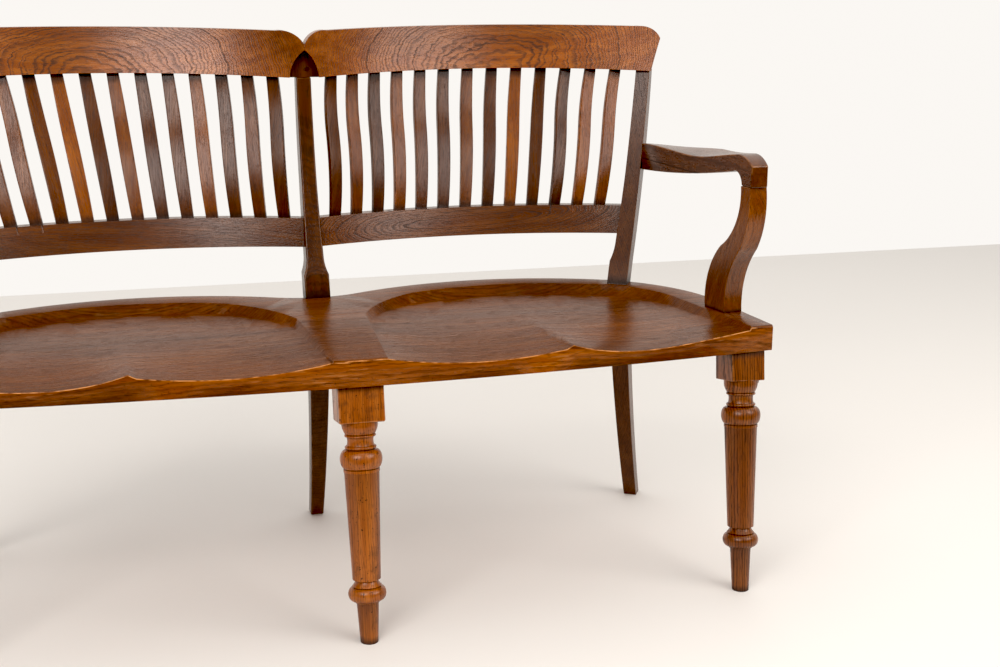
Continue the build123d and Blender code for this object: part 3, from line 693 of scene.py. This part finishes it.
def finish_piece(piece, material, slot, *nodes):
    """Gives a finished piece its wood and its body, and hides the CAD nodes that it stands for."""
    piece.data.materials.clear()
    piece.data.materials.append(material)
    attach(piece, "root")
    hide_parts(*nodes)


def wood_for(name, **changes):
    """The named oak, made once."""
    if name in bpy.data.materials:
        return bpy.data.materials[name]
    figure = bpy.data.node_groups.get("Oak figure") or oak_figure()
    use = bpy.data.node_groups.get("Handling and shade") or handling_and_shade()
    return oak(name, bpy.context.scene.settee_oak, (figure, use), **changes)


def mirrored(side, vector):
    """The vector for the right side, turned over for the left."""
    return Vector((-vector[0], vector[1], vector[2])) if side == "left" else Vector(vector)


def slat_guides(side):
    """The feet of a bay's slats, with directions and lengths read from the frame, and the mean length."""
    feet, ups, backs, spans = [], [], [], []
    for number in range(1, len(SLAT_TONES[side]) + 1):
        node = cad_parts[f"{side}_slat_{number:02d}"]
        corners = {tuple(round(c, 5) for c in node.matrix_world @ v.co) for v in node.data.vertices}
        by_height = sorted((Vector(corner) for corner in corners), key=lambda corner: corner.z)
        foot = sum(by_height[:4], Vector()) / 4
        head = sum(by_height[-4:], Vector()) / 4
        first = by_height[0]
        sides = [corner - first for corner in by_height[1:4]]
        across = max(sides, key=lambda way: abs(way.x) - abs(way.y))
        up = (head - foot).normalized()
        back = up.cross(across).normalized()
        feet.append(foot)
        ups.append(up)
        backs.append(back if back.y > 0 else -back)
        spans.append((head - foot).length)
    mesh = bpy.data.meshes.new(f"{side}_slats")
    mesh.from_pydata(feet, [], [])
    for name, values in (("up", ups), ("back", backs)):
        data = mesh.attributes.new(name, "FLOAT_VECTOR", "POINT").data
        data.foreach_set("vector", [c for value in values for c in value])
    mesh.attributes.new("span", "FLOAT", "POINT").data.foreach_set("value", spans)
    mesh.attributes.new("tone", "FLOAT", "POINT").data.foreach_set("value", SLAT_TONES[side])
    piece = bpy.data.objects.new(f"{side}_slats", mesh)
    bpy.context.scene.collection.objects.link(piece)
    return piece, sum(spans) / len(spans)


class Geometry(Wiring):
    """Short ways to add geometry nodes."""

    def node(self, kind, *joined, **settings):
        node = self.tree.nodes.new(kind)
        for name, value in settings.items():
            setattr(node, name, value)
        for socket, value in joined:
            self.put(value, node.inputs[socket])
        return node.outputs[0]

    def named(self, name, kind):
        return self.node("GeometryNodeInputNamedAttribute", ("Name", name), data_type=kind)

    def store(self, geometry, name, value, kind, domain="POINT"):
        return self.node(
            "GeometryNodeStoreNamedAttribute",
            ("Geometry", geometry),
            ("Name", name),
            ("Value", value),
            data_type=kind,
            domain=domain,
        )


def slat_row():
    """Bent slats with rounded edges, one on each guide point."""
    tree = bpy.data.node_groups.new("Slat row", "GeometryNodeTree")
    group_socket(tree, "Guides", "INPUT", "NodeSocketGeometry")
    for name, value in (
        ("Length", 0.28),
        ("Width", 0.02),
        ("Thickness", 0.009),
        ("Tenon", 0.016),
        ("Swell", 0.005),
        ("Turn Share", 0.6),
        ("Fullness", 0.13),
        ("Edge Radius", 0.0015),
        ("Grain Slope", 0.2),
    ):
        group_socket(tree, name, "INPUT", "NodeSocketFloat", value)
    group_socket(tree, "Seed", "INPUT", "NodeSocketInt", 7)
    group_socket(tree, "Wood", "INPUT", "NodeSocketMaterial")
    group_socket(tree, "Slats", "OUTPUT", "NodeSocketGeometry")
    g = Geometry(tree)
    given = tree.nodes.new("NodeGroupInput").outputs
    result = tree.nodes.new("NodeGroupOutput").inputs

    # The line through a slat: forward over the lower part, back over the upper
    spine = g.node("GeometryNodeCurvePrimitiveLine", ("End", g.join(0.0, 0.0, given["Length"])))
    spine = g.node("GeometryNodeResampleCurve", ("Curve", spine), ("Count", 41))
    height = g.math("SUBTRACT", g.split(g.node("GeometryNodeInputPosition"))[2], given["Tenon"])
    bare = g.math("SUBTRACT", given["Length"], g.times(given["Tenon"], 2.0))
    turn = g.times(bare, given["Turn Share"])
    above = g.math("SUBTRACT", bare, turn)
    low = g.math("DIVIDE", height, turn, clamp=True)
    high = g.math("DIVIDE", g.math("SUBTRACT", height, turn), above, clamp=True)
    low_bow = g.times(g.times(low, g.math("SUBTRACT", 1.0, low)), -4.0)
    high_bow = g.times(g.times(high, g.math("SUBTRACT", 1.0, high)), 4.0)
    high_bow = g.times(high_bow, g.math("DIVIDE", above, turn))
    bow = g.times(g.math("ADD", low_bow, high_bow), given["Swell"])
    spine = g.node("GeometryNodeSetPosition", ("Geometry", spine), ("Offset", g.join(0.0, bow, 0.0)))

    # The section with rounded corners, fuller half way up
    section = g.node(
        "GeometryNodeCurvePrimitiveQuadrilateral",
        ("Width", given["Width"]),
        ("Height", given["Thickness"]),
    )
    section = g.node(
        "GeometryNodeFilletCurve",
        ("Curve", section),
        ("Count", 3),
        ("Radius", given["Edge Radius"]),
        mode="POLY",
    )
    slat = g.node(
        "GeometryNodeCurveToMesh",
        ("Curve", spine),
        ("Profile Curve", section),
        ("Fill Caps", True),
    )
    x, y, z = g.split(g.node("GeometryNodeInputPosition"))
    share = g.math("DIVIDE", height, bare, clamp=True)
    belly = g.times(g.times(share, g.math("SUBTRACT", 1.0, share)), 4.0)
    belly = g.times(belly, given["Fullness"])
    fuller = g.join(g.times(x, belly), g.times(g.math("SUBTRACT", y, bow), belly), 0.0)
    slat = g.node("GeometryNodeSetPosition", ("Geometry", slat), ("Offset", fuller))

    slat = g.store(slat, "plank", g.join(z, x, y), "FLOAT_VECTOR")
    # Grime and painted shade within 16 mm of where each slat enters a rail
    to_top = g.math("ABSOLUTE", g.math("SUBTRACT", height, bare))
    end = g.math("MINIMUM", g.math("ABSOLUTE", height), to_top)
    slat = g.store(slat, "corner", g.step(end, 0.016, 0.0), "FLOAT")

    turned = g.node(
        "FunctionNodeAxesToRotation",
        ("Primary Axis", g.named("up", "FLOAT_VECTOR")),
        ("Secondary Axis", g.named("back", "FLOAT_VECTOR")),
        primary_axis="Z",
        secondary_axis="Y",
    )
    stretch = g.math("DIVIDE", g.named("span", "FLOAT"), given["Length"])
    row = g.node(
        "GeometryNodeInstanceOnPoints",
        ("Points", given["Guides"]),
        ("Instance", slat),
        ("Rotation", turned),
        ("Scale", g.join(1.0, 1.0, stretch)),
    )

    # Each slat is cut from its own place in the oak, with the fibres at their own slope
    for name, low_value, high_value, salt in (
        ("cut", (0.0, 0.09, -0.03), (9.0, 0.16, 0.05), 0),
        ("slope", (-1.0, 0.0, 0.0), (1.0, 0.0, 0.0), 1),
    ):
        cut = g.node(
            "FunctionNodeRandomValue",
            ("Min", low_value),
            ("Max", high_value),
            ("Seed", g.math("ADD", given["Seed"], float(salt))),
            data_type="FLOAT_VECTOR",
        )
        row = g.store(row, name, cut, "FLOAT_VECTOR", "INSTANCE")
    row = g.node("GeometryNodeRealizeInstances", ("Geometry", row))
    slope = g.times(g.split(g.named("slope", "FLOAT_VECTOR"))[0], given["Grain Slope"])
    grain = g.node(
        "ShaderNodeVectorRotate",
        ("Vector", g.named("plank", "FLOAT_VECTOR")),
        ("Axis", (0.0, 0.0, 1.0)),
        ("Angle", slope),
    )
    row = g.store(row, "plank", g.vector("ADD", grain, g.named("cut", "FLOAT_VECTOR")), "FLOAT_VECTOR")
    row = g.node("GeometryNodeSetMaterial", ("Geometry", row), ("Material", given["Wood"]))
    g.put(row, result["Slats"])
    return tree


def run_tree(piece, tree, values):
    """Gives the piece the mesh that a geometry tree makes of it."""
    modifier = piece.modifiers.new(tree.name, "NODES")
    modifier.node_group = tree
    sockets = {item.name: item.identifier for item in tree.interface.items_tree if item.in_out == "INPUT"}
    for name, value in values.items():
        modifier[sockets[name]] = value
    take_result(piece, modifier)
    if not piece.data.polygons:
        raise RuntimeError(f"{piece.name} came out empty")


class SETTEE_OT_seat(bpy.types.Operator):
    """Finish the seat plank"""

    bl_idname = "settee.seat"
    bl_label = "Seat plank"

    def execute(self, context):
        seat = copy_nodes(["seat_plank"], "seat")
        wear_front(seat, context.scene.settee_oak.edge)
        lay_grain(seat, (1, 0.015, 0), (0.0, 1, 0.25), (0.0, 0.35, -0.40))
        material = wood_for(
            "Seat oak",
            lightness=1.05,
            rays=0.45,
            rings=0.55,
            spacing=0.0052,
            wander=0.020,
            roughness=0.27,
            coat=0.12,
            shine=0.16,
            wear=0.9,
            knocks=0.45,
            # Painted shade on the walls of the hollows, with grime on the top
            top_shade=0.60,
            worn=1.25,
        )
        finish_piece(seat, material, "seat_oak", "seat_plank")
        return {"FINISHED"}


class SETTEE_OT_back(bpy.types.Operator):
    """Finish the crest rails, the lower rails and the block between them"""

    bl_idname = "settee.back"
    bl_label = "Rails"

    def execute(self, context):
        edge = context.scene.settee_oak.edge
        crest_oak = wood_for(
            "Crest oak",
            lightness=1.20,
            rings=0.80,
            spacing=0.0021,
            wander=0.027,
            roughness=0.26,
        )
        rail_oak = wood_for(
            "Lower rail oak",
            lightness=0.55,
            rings=0.75,
            spacing=0.0021,
            roughness=0.25,
            wear=0.2,
        )
        for side in SIDES:
            start = 0.3 if side == "left" else 0.9
            node = f"{side}_crest_rail"
            crest = copy_nodes([node], f"{side}_crest")
            soften(crest, edge * 2.4, 4)
            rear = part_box(node)[1][1]
            pith = (start, -0.27 - 0.96 * rear, 0.27 * rear - 0.745)
            lay_grain(crest, (1, 0, 0.02), (0, 1, 0.28), pith)
            finish_piece(crest, crest_oak, "rail_oak", node)

            node = f"{side}_lower_rail"
            rail = copy_nodes([node], f"{side}_rail")
            soften(rail, edge)
            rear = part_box(node)[1][1]
            lay_grain(rail, mirrored(side, (1, 0.0, 0.05)), (0, 1, 0.2), (start, -0.07 - rear, -0.48))
            finish_piece(rail, rail_oak, "rail_oak", node)
        block = copy_nodes(["crest_block"], "division_block")
        soften(block, edge)
        lay_grain(block, (0, 0, 1), (0.3, 1, 0), (0.2, 0.05, 0.02))
        finish_piece(block, wood_for("Block oak", lightness=0.50, rings=0.4), "rail_oak", "crest_block")
        return {"FINISHED"}


class SETTEE_OT_slats(bpy.types.Operator):
    """Make the slats of both bays"""

    bl_idname = "settee.slats"
    bl_label = "Slats"

    def execute(self, context):
        sizes = context.scene.settee_slats
        wood = wood_for(
            "Slat oak",
            lightness=1.05,
            rings=0.65,
            spacing=0.0024,
            wander=0.006,
            roughness=0.26,
            shine=0.28,
            toned=True,
        )
        tree = slat_row()
        for side in SIDES:
            slats, length = slat_guides(side)
            values = {
                "Length": length,
                "Width": sizes.width,
                "Thickness": sizes.thickness,
                "Tenon": sizes.tenon,
                "Fullness": sizes.fullness,
                "Swell": sizes.swell,
                "Turn Share": sizes.turn,
                "Edge Radius": context.scene.settee_oak.edge,
                "Grain Slope": sizes.slope,
                "Seed": sizes.seed,
                "Wood": wood,
            }
            run_tree(slats, tree, values)
            even_shading(slats, 50)
            nodes = [f"{side}_slat_{number + 1:02d}" for number in range(len(SLAT_TONES[side]))]
            finish_piece(slats, wood, "slat_oak", *nodes)
        return {"FINISHED"}


class SETTEE_OT_posts(bpy.types.Operator):
    """Finish the posts with their back legs"""

    bl_idname = "settee.posts"
    bl_label = "Posts and back legs"

    def execute(self, context):
        edge = context.scene.settee_oak.edge
        seat_under, seat_top = (corner[2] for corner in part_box("seat_plank"))
        for index, side in enumerate(PLACES):
            node = f"{side}_back_post"
            post = copy_nodes([node], f"{side}_post")
            soften(post, edge * 1.8, 3)
            lay_grain(post, (0, 0.12, 1), (0.3, 1, 0), (index * 0.6, 0.07, 0.02))
            material = wood_for(
                f"{side} post oak",
                lightness=0.36 if side == "centre" else 0.38,
                rings=0.5,
                wear=0.25,
                shine=0.30,
                # Grime and painted shade in bands where the post meets the seat
                joints=(seat_top, seat_under),
                reach=0.02,
            )
            finish_piece(post, material, "post_oak", node)
        return {"FINISHED"}


def turning_points(rise):
    """The turned outline as (height, radius) points from below the foot to inside the block."""
    points = [(-FOOT_OVERRUN, TURNING[0][3])]
    for kind, low, high, r_low, r_high, r_full in TURNING:
        low += rise if low > 0 else 0
        high += rise
        steps = 2 if kind == "line" else CURVE_STEPS
        for step in range(steps):
            share = step / (steps - 1)
            radius = r_low + (r_high - r_low) * share
            height = low + (high - low) * share
            if kind == "bulge":
                turn = math.pi * share
                height = (low + high) / 2 - (high - low) / 2 * math.cos(turn)
                radius += (r_full - radius) * math.sin(turn)
            elif kind == "cove":
                radius -= COVE_DEPTH * (high - low) * math.sin(math.pi * share)
            elif kind == "ovolo":
                radius = r_low + (r_high - r_low) * math.sin(math.pi / 2 * share)
            points.append((height, radius))
    return points


def cut_and_cap(bm, place, normal):
    """Cuts away what lies behind a plane and closes the cut."""
    cut = bmesh.ops.bisect_plane(
        bm,
        geom=bm.verts[:] + bm.edges[:] + bm.faces[:],
        plane_co=place,
        plane_no=normal,
        clear_inner=True,
    )
    rim = [item for item in cut["geom_cut"] if isinstance(item, bmesh.types.BMEdge)]
    bmesh.ops.edgeloop_fill(bm, edges=rim)


def leg_axis(bm):
    """The mean of the points round a leg's foot, and the direction from there to the middle of its head.

    The points lie unevenly, so their mean is some 8 mm behind the middle of the foot.
    """
    foot_ring = [vertex.co for vertex in bm.verts if vertex.co.z < FOOT_BAND]
    foot = sum(foot_ring, Vector()) / len(foot_ring)
    head_level = max(vertex.co.z for vertex in bm.verts)
    head_ring = [vertex.co for vertex in bm.verts if vertex.co.z > head_level - HEAD_BAND]
    low = Vector([min(co[way] for co in head_ring) for way in range(3)])
    high = Vector([max(co[way] for co in head_ring) for way in range(3)])
    return foot, ((low + high) / 2 - foot).normalized()


def lathe(bm, foot, axis, outline):
    """Adds a closed turned shape round the axis."""
    side = axis.orthogonal().normalized()
    other = axis.cross(side)
    rings = []
    for height, radius in outline:
        ring = []
        for index in range(LATHE_SIDES):
            turn = 2 * math.pi * index / LATHE_SIDES
            spoke = side * math.cos(turn) + other * math.sin(turn)
            ring.append(bm.verts.new(foot + axis * height + spoke * radius))
        rings.append(ring)
    for below, above in zip(rings, rings[1:]):
        for index in range(LATHE_SIDES):
            after = (index + 1) % LATHE_SIDES
            bm.faces.new((below[index], below[after], above[after], above[index]))
    bm.faces.new(list(reversed(rings[0])))
    bm.faces.new(rings[-1])


def turned_leg(node, name, rise, radius):
    """A lathed leg under the frame's own square block, on the axis from leg_axis."""
    piece = copy_nodes([node], name)
    bm = bmesh.new()
    bm.from_mesh(piece.data)
    arris = bm.verts.layers.float.new("arris")
    foot, axis = leg_axis(bm)
    cut_and_cap(bm, foot + axis * (BLOCK_BOTTOM + rise), axis)
    bmesh.ops.dissolve_limit(bm, angle_limit=FLAT_ANGLE, verts=bm.verts, edges=bm.edges)
    edges = [edge for edge in bm.edges if edge.calc_length() > LONG_EDGE and is_sharp(edge, SQUARE_ANGLE)]
    bevelled_arrises(bm, edges, radius, 3, arris)
    lathe(bm, foot, axis, turning_points(rise))
    cut_and_cap(bm, (0, 0, 0), (0, 0, 1))
    bmesh.ops.remove_doubles(bm, verts=bm.verts, dist=SAME_POINT)
    bmesh.ops.recalc_face_normals(bm, faces=bm.faces)
    bm.to_mesh(piece.data)
    bm.free()
    return piece


class SETTEE_OT_legs(bpy.types.Operator):
    """Finish the turned front legs"""

    bl_idname = "settee.legs"
    bl_label = "Front legs"

    def execute(self, context):
        edge = context.scene.settee_oak.edge
        seat_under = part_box("seat_plank")[0][2]
        for index, side in enumerate(PLACES):
            node = f"{side}_front_leg"
            middle = side == "centre"
            rise = 0.0 if middle else END_LEG_RISE
            leg = turned_leg(node, f"{side}_leg", rise, edge * (1.8 if middle else 1.0))
            mark_grooves(leg)
            even_shading(leg, 35)
            material = wood_for(
                f"{side} leg oak",
                lightness=1.48 if middle else 1.02,
                rings=0.55 if middle else 0.95,
                spacing=0.0034 if middle else 0.0042,
                knocks=0.85 if middle else 0.35,
                wear=0.5,
                roughness=0.33,
                # Grime and painted shade in bands under the seat and at the floor
                joints=(seat_under, 0.0),
                reach=0.014,
            )
            right_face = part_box(node)[1][0]
            lay_grain(leg, (0, 0.1, 1), (0.5, 1, 0), (index * 0.5, 0.34, 0.05 - right_face))
            finish_piece(leg, material, "leg_oak", node)
        return {"FINISHED"}


class SETTEE_OT_arms(bpy.types.Operator):
    """Finish the arms and their supports"""

    bl_idname = "settee.arms"
    bl_label = "Arms"

    def execute(self, context):
        edge = context.scene.settee_oak.edge
        seat_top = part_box("seat_plank")[1][2]
        arm_oak = wood_for(
            "Arm oak",
            lightness=0.48,
            rings=0.5,
            roughness=0.25,
            # Grime and painted shade in a thin band at the arm's joint
            joints=(ARM_JOINT_HEIGHT,),
            reach=0.0025,
        )
        support_oak = wood_for(
            "Support oak",
            lightness=0.78,
            rings=0.50,
            rays=0.4,
            roughness=0.25,
            # Grime and painted shade in a band where the support meets the seat
            joints=(seat_top,),
            reach=0.008,
        )
        for side in SIDES:
            arm = copy_nodes([f"{side}_arm"], f"{side}_armrest")
            soften(arm, edge * 2.5, 4)
            along = mirrored(side, (-0.06, 1, 0))
            lay_grain(arm, along, mirrored(side, (0.4, 0, 1)), (0.4, -0.6, 0.1))
            finish_piece(arm, arm_oak, "arm_oak", f"{side}_arm")
            support = copy_nodes([f"{side}_arm_support"], f"{side}_stump")
            soften(support, edge * 1.8, 3)
            lay_grain(support, (0, -0.35, 1), mirrored(side, (1, 0.2, 0)), (0.4, -0.5, 0.35))
            finish_piece(support, support_oak, "arm_oak", f"{side}_arm_support")
        return {"FINISHED"}


class SETTEE_OT_fittings(bpy.types.Operator):
    """Finish the plug"""

    bl_idname = "settee.fittings"
    bl_label = "Plug"

    def execute(self, context):
        plug = copy_nodes(["crest_plug"], "plug")
        soften(plug, 0.0004)
        lay_grain(plug, (0, 1, 0), (0, 0, 1), (0, -0.8, 0.01))
        finish_piece(plug, wood_for("Plug oak", lightness=0.30, rings=0.4), "rail_oak", "crest_plug")
        return {"FINISHED"}


def area_light(name, place, aim, size, power, tint):
    """A soft light that looks at a point."""
    lamp = bpy.data.lights.new(name, "AREA")
    lamp.shape = "RECTANGLE"
    lamp.size, lamp.size_y = size
    lamp.energy = power
    lamp.color = tint
    obj = bpy.data.objects.new(name, lamp)
    obj.location = place
    obj.rotation_euler = (Vector(aim) - Vector(place)).to_track_quat("-Z", "Y").to_euler()
    bpy.context.scene.collection.objects.link(obj)


class SETTEE_OT_stage(bpy.types.Operator):
    """Lay the floor and set the lights and the camera"""

    bl_idname = "settee.stage"
    bl_label = "Studio"

    def execute(self, context):
        scene = context.scene
        studio = scene.settee_studio
        mesh = bpy.data.meshes.new("floor")
        corners = [
            (-FLOOR_REACH, studio.front, 0),
            (FLOOR_REACH, studio.front, 0),
            (FLOOR_REACH, studio.wall, 0),
            (-FLOOR_REACH, studio.wall, 0),
        ]
        mesh.from_pydata(corners, [], [(0, 1, 2, 3)])
        floor = bpy.data.objects.new("floor", mesh)
        scene.collection.objects.link(floor)
        paint = bpy.data.materials.new("Pale floor")
        paint.use_nodes = True
        surface = paint.node_tree.nodes["Principled BSDF"]
        surface.inputs["Base Color"].default_value = FLOOR_PAINT
        surface.inputs["Roughness"].default_value = 0.6
        surface.inputs["Specular IOR Level"].default_value = 0.3
        mesh.materials.append(paint)

        world = bpy.data.worlds.new("Pale room")
        world.use_nodes = True
        tree = world.node_tree
        w = Wiring(tree)
        back = tree.nodes["Background"]
        coords = tree.nodes.new("ShaderNodeTexCoord")
        _x, y, z = w.split(coords.outputs["Generated"])
        shade = w.mix(w.step(y, -0.25, 0.45), ROOM_FRONT, ROOM_BACK)
        shade = w.mix(w.step(z, 0.35, 0.9), shade, ROOM_TOP)
        rays = tree.nodes.new("ShaderNodeLightPath").outputs
        shade = w.mix(rays["Is Diffuse Ray"], shade, ROOM_SOFT)
        shade = w.mix(rays["Is Camera Ray"], shade, WALL_SEEN)
        w.put(shade, back.inputs["Color"])
        back.inputs["Strength"].default_value = studio.sky
        scene.world = world
        for light in LIGHTS:
            area_light(*light)

        camera = bpy.data.cameras.new("camera")
        camera.lens = studio.lens
        camera.sensor_width = 36.0
        camera.clip_end = 50
        rig = bpy.data.objects.new("camera", camera)
        pitch, yaw, roll = studio.pitch, studio.yaw, studio.roll
        level = math.cos(pitch)
        forward = Vector((math.sin(yaw) * level, math.cos(yaw) * level, -math.sin(pitch)))
        flat_right = Vector((math.cos(yaw), -math.sin(yaw), 0.0))
        flat_down = forward.cross(flat_right)
        right = flat_right * math.cos(roll) + flat_down * math.sin(roll)
        down = flat_down * math.cos(roll) - flat_right * math.sin(roll)
        turn = Matrix((right, -down, -forward)).transposed()
        rig.matrix_world = Matrix.Translation(studio.camera_place) @ turn.to_4x4()
        scene.collection.objects.link(rig)
        scene.camera = rig
        view = scene.view_settings
        view.view_transform = "Standard"
        view.use_curve_mapping = True
        view.curve_mapping.black_level = (studio.black,) * 3
        view.curve_mapping.update()
        return {"FINISHED"}


class SETTEE_PT_panel(bpy.types.Panel):
    """Sizes, colours and steps of the settee"""

    bl_label = "Settee"
    bl_idname = "SETTEE_PT_panel"
    bl_space_type = "VIEW_3D"
    bl_region_type = "UI"
    bl_category = "Settee"

    def draw(self, context):
        layout = self.layout
        scene = context.scene
        groups = (("Oak", scene.settee_oak), ("Slats", scene.settee_slats), ("Studio", scene.settee_studio))
        for title, group in groups:
            box = layout.box()
            box.label(text=title)
            for name in group.__annotations__:
                box.prop(group, name)
        for operator in OPERATORS:
            layout.operator(operator.bl_idname)


OPERATORS = (
    SETTEE_OT_seat,
    SETTEE_OT_back,
    SETTEE_OT_slats,
    SETTEE_OT_posts,
    SETTEE_OT_legs,
    SETTEE_OT_arms,
    SETTEE_OT_fittings,
    SETTEE_OT_stage,
)
CLASSES = (SetteeOak, SetteeSlats, SetteeStudio, SETTEE_PT_panel) + OPERATORS


def register():
    for cls in CLASSES:
        bpy.utils.register_class(cls)
    bpy.types.Scene.settee_oak = PointerProperty(type=SetteeOak)
    bpy.types.Scene.settee_slats = PointerProperty(type=SetteeSlats)
    bpy.types.Scene.settee_studio = PointerProperty(type=SetteeStudio)


def unregister():
    del bpy.types.Scene.settee_studio
    del bpy.types.Scene.settee_slats
    del bpy.types.Scene.settee_oak
    for cls in reversed(CLASSES):
        bpy.utils.unregister_class(cls)


def main():
    register()
    bpy.ops.settee.seat()
    bpy.ops.settee.back()
    bpy.ops.settee.slats()
    bpy.ops.settee.posts()
    bpy.ops.settee.legs()
    bpy.ops.settee.arms()
    bpy.ops.settee.fittings()
    bpy.ops.settee.stage()


if __name__ == "__main__":
    main()
